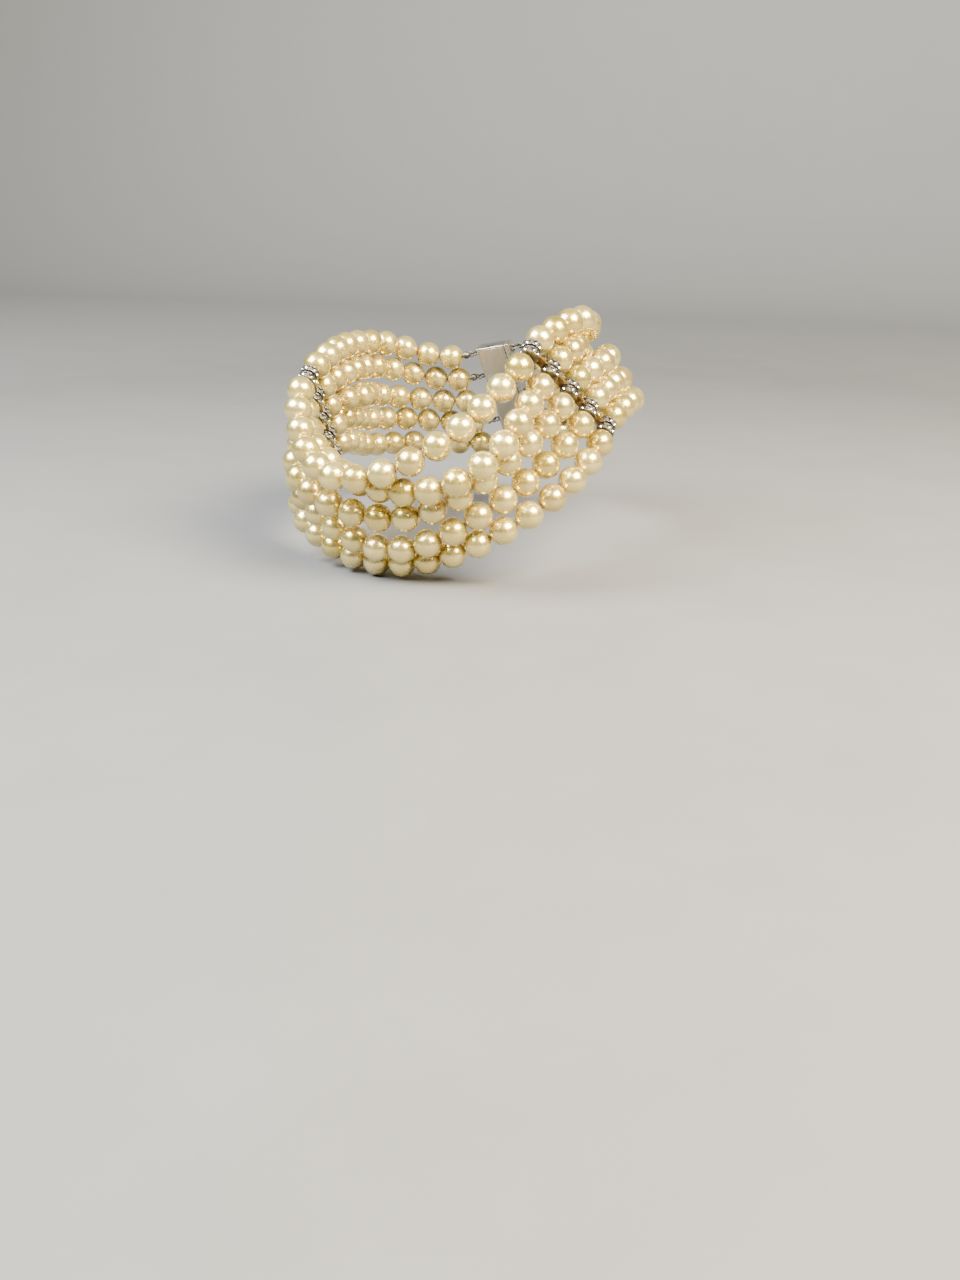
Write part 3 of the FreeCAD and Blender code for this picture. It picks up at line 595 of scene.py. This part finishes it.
def stone_master():
    """A cut stone: pavilion, girdle, eight crown facets with stars between them, and a table; it faces Z."""
    tall = RONDELLE_RADIUS - WEB_RADIUS - STONE_SLACK
    bpy.ops.object.select_all(action="DESELECT")
    bpy.ops.mesh.primitive_cylinder_add(vertices=8, radius=STONE_RADIUS, depth=0.12 * tall,
                                        location=(0.0, 0.0, 0.5 * tall))
    stone = named("stone_master")
    settle(stone)
    edit(stone, "FACE")
    pick(stone, "FACE", lambda face: face.normal.z < -0.9)
    bpy.ops.mesh.extrude_region_move(TRANSFORM_OT_translate={"value": (0.0, 0.0, -0.44 * tall)})
    bpy.ops.transform.resize(value=(0.45, 0.45, 1.0), center_override=(0.0, 0.0, 0.0))
    pick(stone, "FACE", lambda face: face.normal.z > 0.9)
    bpy.ops.mesh.extrude_region_move(TRANSFORM_OT_translate={"value": (0.0, 0.0, 0.44 * tall)})
    bpy.ops.transform.resize(value=(0.55, 0.55, 1.0), center_override=(0.0, 0.0, 0.0))
    bpy.ops.transform.rotate(value=math.radians(22.5), orient_axis="Z", center_override=(0.0, 0.0, 0.0))
    bpy.ops.mesh.select_all(action="SELECT")
    bpy.ops.mesh.quads_convert_to_tris(quad_method="SHORTEST_DIAGONAL", ngon_method="BEAUTY")
    leave()
    outwards(stone)
    draws = random.Random(3)
    # Painted reflection: every face gets a random brightness that stands in for the light a cut stone throws
    # back.
    mark(stone, "facet", 0.0)
    for face in stone.data.polygons:
        stone.data.attributes["facet"].data[face.index].value = draws.random()
    return stone


def add_bars(bar_metal, ring_metal, crystal):
    """Both spacer bars with their rondelles and stones."""
    bar, ring, prong, stone = bar_master(), rondelle_master(), prong_master(), stone_master()
    foot = WEB_RADIUS + STONE_SLACK
    for side, (down, through, faces) in bar_frames().items():
        across = down.cross(through)
        centre = (mean(faces["front"]) + mean(faces["back"])) / 2.0
        piece = placed(bar, "bar", axes(centre, across, down, through), hollow=0.35)
        finished(joined("bar_" + side, [piece]), "choker", "spacer_bar_" + side, bar_metal)
        for face, way in (("front", through * -1.0), ("back", through)):
            rings, stones = [], []
            for spot in faces[face]:
                side_way = way.cross(down)
                rings.append(placed(ring, "ring", axes(spot, down, side_way, way)))
                for number in range(STONES):
                    angle = math.tau * (number + 0.5) / STONES
                    outward = down * math.cos(angle) + side_way * math.sin(angle)
                    stones.append(placed(stone, "stone", axes(spot + outward * foot, way,
                                                              outward.cross(way), outward)))
                    angle = math.tau * number / STONES
                    outward = down * math.cos(angle) + side_way * math.sin(angle)
                    post = spot + outward * (0.9 * RONDELLE_RADIUS)
                    rings.append(placed(prong, "prong", axes(post, down, side_way, way)))
            label = "%s_%s" % (side, face)
            finished(joined("rings_" + label, rings), "choker", "rondelles_" + label, ring_metal)
            finished(joined("crystals_" + label, stones), "choker", "stones_" + label, crystal)
    remove(bar, ring, prong, stone)


# ---------------------------------------------------------------- clasp and its links

def softened(node, name, width, rim=0.0, **marks):
    """A copy of a node with its sharp edges broken; with a rim, its broadest faces are sunk inside one."""
    copy = frame["nodes"][node].copy()
    copy.data = frame["nodes"][node].data.copy()
    copy.parent = None
    copy.name = name
    bpy.context.collection.objects.link(copy)
    copy.matrix_world = Matrix.Identity(4)
    edit(copy)
    bpy.ops.mesh.select_all(action="SELECT")
    bpy.ops.mesh.remove_doubles(threshold=1e-6)
    bpy.ops.mesh.dissolve_limited(angle_limit=math.radians(2.0))
    if rim:
        leave()
        largest = max(face.area for face in copy.data.polygons)
        pick(copy, "FACE", lambda face: face.area > 0.8 * largest)
        bpy.ops.mesh.inset(thickness=rim)
        bpy.ops.mesh.inset(thickness=0.25 * rim, depth=-0.25 * rim)
    leave()
    break_edges(copy, width, 3, 50.0)
    smooth(copy, 30.0)
    for mark_name, value in marks.items():
        mark(copy, mark_name, value)
    return copy


def wire_ring(name, radius, wire, slit):
    """A ring of round wire about Z; with a slit, it is cut and its two ends closed."""
    bpy.ops.object.select_all(action="DESELECT")
    bpy.ops.mesh.primitive_torus_add(major_segments=40, minor_segments=14,
                                     major_radius=radius, minor_radius=wire)
    ring = named(name)
    if slit:
        edit(ring, "FACE")
        pick(ring, "FACE", lambda face: face.center.x > 0.0 and abs(face.center.y) < slit)
        bpy.ops.mesh.delete(type="FACE")
        bpy.ops.mesh.select_mode(type="EDGE")
        bpy.ops.mesh.select_all(action="DESELECT")
        bpy.ops.mesh.select_non_manifold()
        bpy.ops.mesh.fill_holes(sides=0)
        leave()
        outwards(ring)
    smooth(ring, 40.0)
    mark(ring, "hollow", 0.2)
    return ring


def loop_master():
    """Half a wire ring whose two feet stand on the clasp; it reaches along Y."""
    loop = wire_ring("loop_master", LOOP_RADIUS, LOOP_WIRE, 0.0)
    edit(loop)
    bpy.ops.mesh.select_all(action="SELECT")
    bpy.ops.mesh.bisect(plane_co=(0.0, 0.0, 0.0), plane_no=(0.0, 1.0, 0.0), use_fill=True, clear_inner=True)
    leave()
    outwards(loop)
    return loop


def tip_master():
    """A bead tip: a wire eye about Z and, along Y, a ball of two cups with a seam between them."""
    eye = wire_ring("tip_eye", TIP_LOOP_RADIUS, TIP_WIRE, 0.0)
    reach = TIP_LOOP_RADIUS + TIP_RADIUS - TIP_WIRE
    bpy.ops.object.select_all(action="DESELECT")
    bpy.ops.mesh.primitive_uv_sphere_add(segments=24, ring_count=17, radius=TIP_RADIUS)
    ball = named("tip_ball")
    edit(ball)
    seam = 0.12 * TIP_RADIUS
    pick(ball, "VERT", lambda spot: abs(spot.z) < seam)
    bpy.ops.transform.resize(value=(0.93, 0.93, 0.6), center_override=(0.0, 0.0, 0.0))
    bpy.ops.mesh.select_all(action="SELECT")
    bpy.ops.transform.translate(value=(0.0, reach, 0.0))
    leave()
    outwards(ball)
    smooth(ball, 30.0)
    mark(ball, "hollow", 0.25)
    return joined("tip_master", [eye, ball])


def add_clasp(clasp_metal, link_metal, spring_metal):
    """The box, the tongue plate and, at every strand end, a loop, a jump ring and a bead tip."""
    finished(softened("clasp_box", "box", 0.2 * MM, rim=1.0 * MM, hollow=0.1), "back_left", "clasp_box",
             clasp_metal)
    finished(softened("clasp_back_plate", "box_back", 0.08 * MM, hollow=0.3), "back_left", "clasp_back_plate",
             clasp_metal)
    finished(softened("tongue_plate", "tongue", 0.12 * MM, hollow=0.1), "back_right", "tongue_plate",
             clasp_metal)
    finished(softened("tongue_leaf", "leaf", 0.06 * MM, hollow=0.2), "tongue_leaf", "tongue_leaf",
             spring_metal)
    up = joint_axis("latch_press") * -1.0
    rings = {side: middles("jump_rings_" + side) for side in ("right", "left")}
    across = (mean(rings["right"]) - mean(rings["left"])).normalized()
    loop, ring, tip = loop_master(), wire_ring("ring_master", RING_RADIUS, RING_WIRE, 0.12 * MM), tip_master()
    for side, sign in (("right", 1.0), ("left", -1.0)):
        lead = across * sign
        level = up.cross(lead)
        body = "back_" + side
        pieces = {"clasp_loops": [], "jump_rings": [], "bead_tips": []}
        for spot in rings[side]:
            pieces["jump_rings"].append(placed(ring, "ring", axes(spot, lead.cross(up), lead * -1.0, up)))
        for points in middles("clasp_loops_" + side):
            base = points - lead * ((LOOP_RADIUS + LOOP_WIRE) / 2.0)
            pieces["clasp_loops"].append(placed(loop, "loop", axes(base, up, level.cross(up), level)))
        for spot in middles("bead_tips_" + side):
            length = 2.0 * TIP_LOOP_RADIUS + TIP_WIRE * 2.0 + 2.0 * TIP_RADIUS - TIP_WIRE
            base = spot - lead * (length / 2.0 - TIP_LOOP_RADIUS - TIP_WIRE)
            pieces["bead_tips"].append(placed(tip, "tip", axes(base, up, level.cross(up), level)))
        for name, items in pieces.items():
            finished(joined("%s_%s_wire" % (name, side), items), body, "%s_%s" % (name, side), link_metal)
    remove(loop, ring, tip)


def dress_threads(finish):
    """The threads keep their shape and get their finish."""
    for section in BODY_OF_SECTION:
        for row in range(1, ROWS + 1):
            node = frame["nodes"]["thread_%s_%d" % (section, row)]
            for holder in node.material_slots:
                holder.material = finish


# ---------------------------------------------------------------- floor, light and camera

def add_floor(level):
    """A floor that sweeps up into a wall behind and gets paler where less light reaches it."""
    size, back, sweep = 8.0, 1.4, 0.5
    bpy.ops.object.select_all(action="DESELECT")
    bpy.ops.mesh.primitive_plane_add(size=size, location=(0.0, back - size / 2.0, level))
    floor = named("floor")
    settle(floor)
    edit(floor, "EDGE")
    pick(floor, "EDGE", lambda spot: spot.y > 0.9 * back)
    bpy.ops.mesh.extrude_region_move(TRANSFORM_OT_translate={"value": (0.0, 0.0, size / 2.0)})
    pick(floor, "EDGE", lambda spot: spot.y > 0.9 * back and spot.z < level + 0.1)
    bpy.ops.mesh.bevel(offset=sweep, segments=24, affect="EDGES")
    leave()
    smooth(floor, 60.0)
    finish = Finish("pale_floor")
    speck = finish.noise(30.0, 4.0)
    distance = finish.node("ShaderNodeVectorMath", {"operation": "LENGTH"}, {0: finish.place}, "Value")
    ground = finish.blend(finish.stretched(speck, 0.3, 0.7), shade(0.13, 0.128, 0.124),
                          shade(0.14, 0.138, 0.134))
    finish.set(Base_Color=finish.blend(finish.stretched(distance, sweep, 5.0 * sweep), ground,
                                       shade(0.66, 0.66, 0.65)),
               Roughness=0.75)
    floor.data.materials.append(finish.material)


def add_light(name, aim, way, distance, size, energy, tone):
    bpy.ops.object.select_all(action="DESELECT")
    bpy.ops.object.light_add(type="AREA", location=aim + way.normalized() * distance)
    light = bpy.context.active_object
    light.name = name
    light.data.shape = "RECTANGLE"
    light.data.size, light.data.size_y = size
    light.data.energy = energy
    light.data.color = tone
    light.rotation_euler = way.to_track_quat("Z", "Y").to_euler()


def add_lights(aim):
    add_light("window", aim, Vector((-0.46, -0.48, 0.75)), 0.9, (0.66, 0.52), 46.0, (0.90, 0.95, 1.0))
    add_light("lamp", aim, Vector((0.69, -0.25, 0.67)), 0.75, (0.46, 0.38), 42.0, (1.0, 0.88, 0.66))
    world = bpy.data.worlds.new("room")
    bpy.context.scene.world = world
    world.use_nodes = True
    room = world.node_tree.nodes["Background"]
    room.inputs["Color"].default_value = shade(0.58, 0.56, 0.53)
    room.inputs["Strength"].default_value = 0.26


def add_camera():
    turn, tilt = math.radians(22.0), math.radians(20.0)
    forward = Vector((-math.sin(turn) * math.cos(tilt), math.cos(turn) * math.cos(tilt), -math.sin(tilt)))
    bpy.ops.object.select_all(action="DESELECT")
    bpy.ops.object.camera_add(location=(0.1872, -0.4313, 0.0800))
    camera = bpy.context.active_object
    camera.rotation_euler = (forward * -1.0).to_track_quat("Z", "Y").to_euler()
    camera.data.sensor_fit = "VERTICAL"
    camera.data.sensor_height = 24.0
    camera.data.lens = 23.44
    camera.data.clip_start = 0.01
    bpy.context.scene.camera = camera


# ---------------------------------------------------------------- the choker

low, high = Vector(cad_box[0]), Vector(cad_box[1])
silver = metal_finish("antique_silver", shade(0.30, 0.28, 0.235), shade(0.04, 0.034, 0.026), 0.42, 0.28)
add_pearls(pearl_finish())
add_bars(metal_finish("antique_gold", shade(0.58, 0.38, 0.15), shade(0.12, 0.07, 0.025), 0.5), silver,
         crystal_finish())
add_clasp(metal_finish("clasp_plate", shade(0.72, 0.69, 0.62), shade(0.50, 0.46, 0.38), 0.45, 0.2,
                       7.0 * MM), silver,
          metal_finish("spring_plate", shade(0.70, 0.69, 0.67), shade(0.25, 0.24, 0.22), 0.7, 0.2))
dress_threads(thread_finish())
add_floor(low.z - 0.2 * MM)
add_lights((low + high) / 2.0)
add_camera()
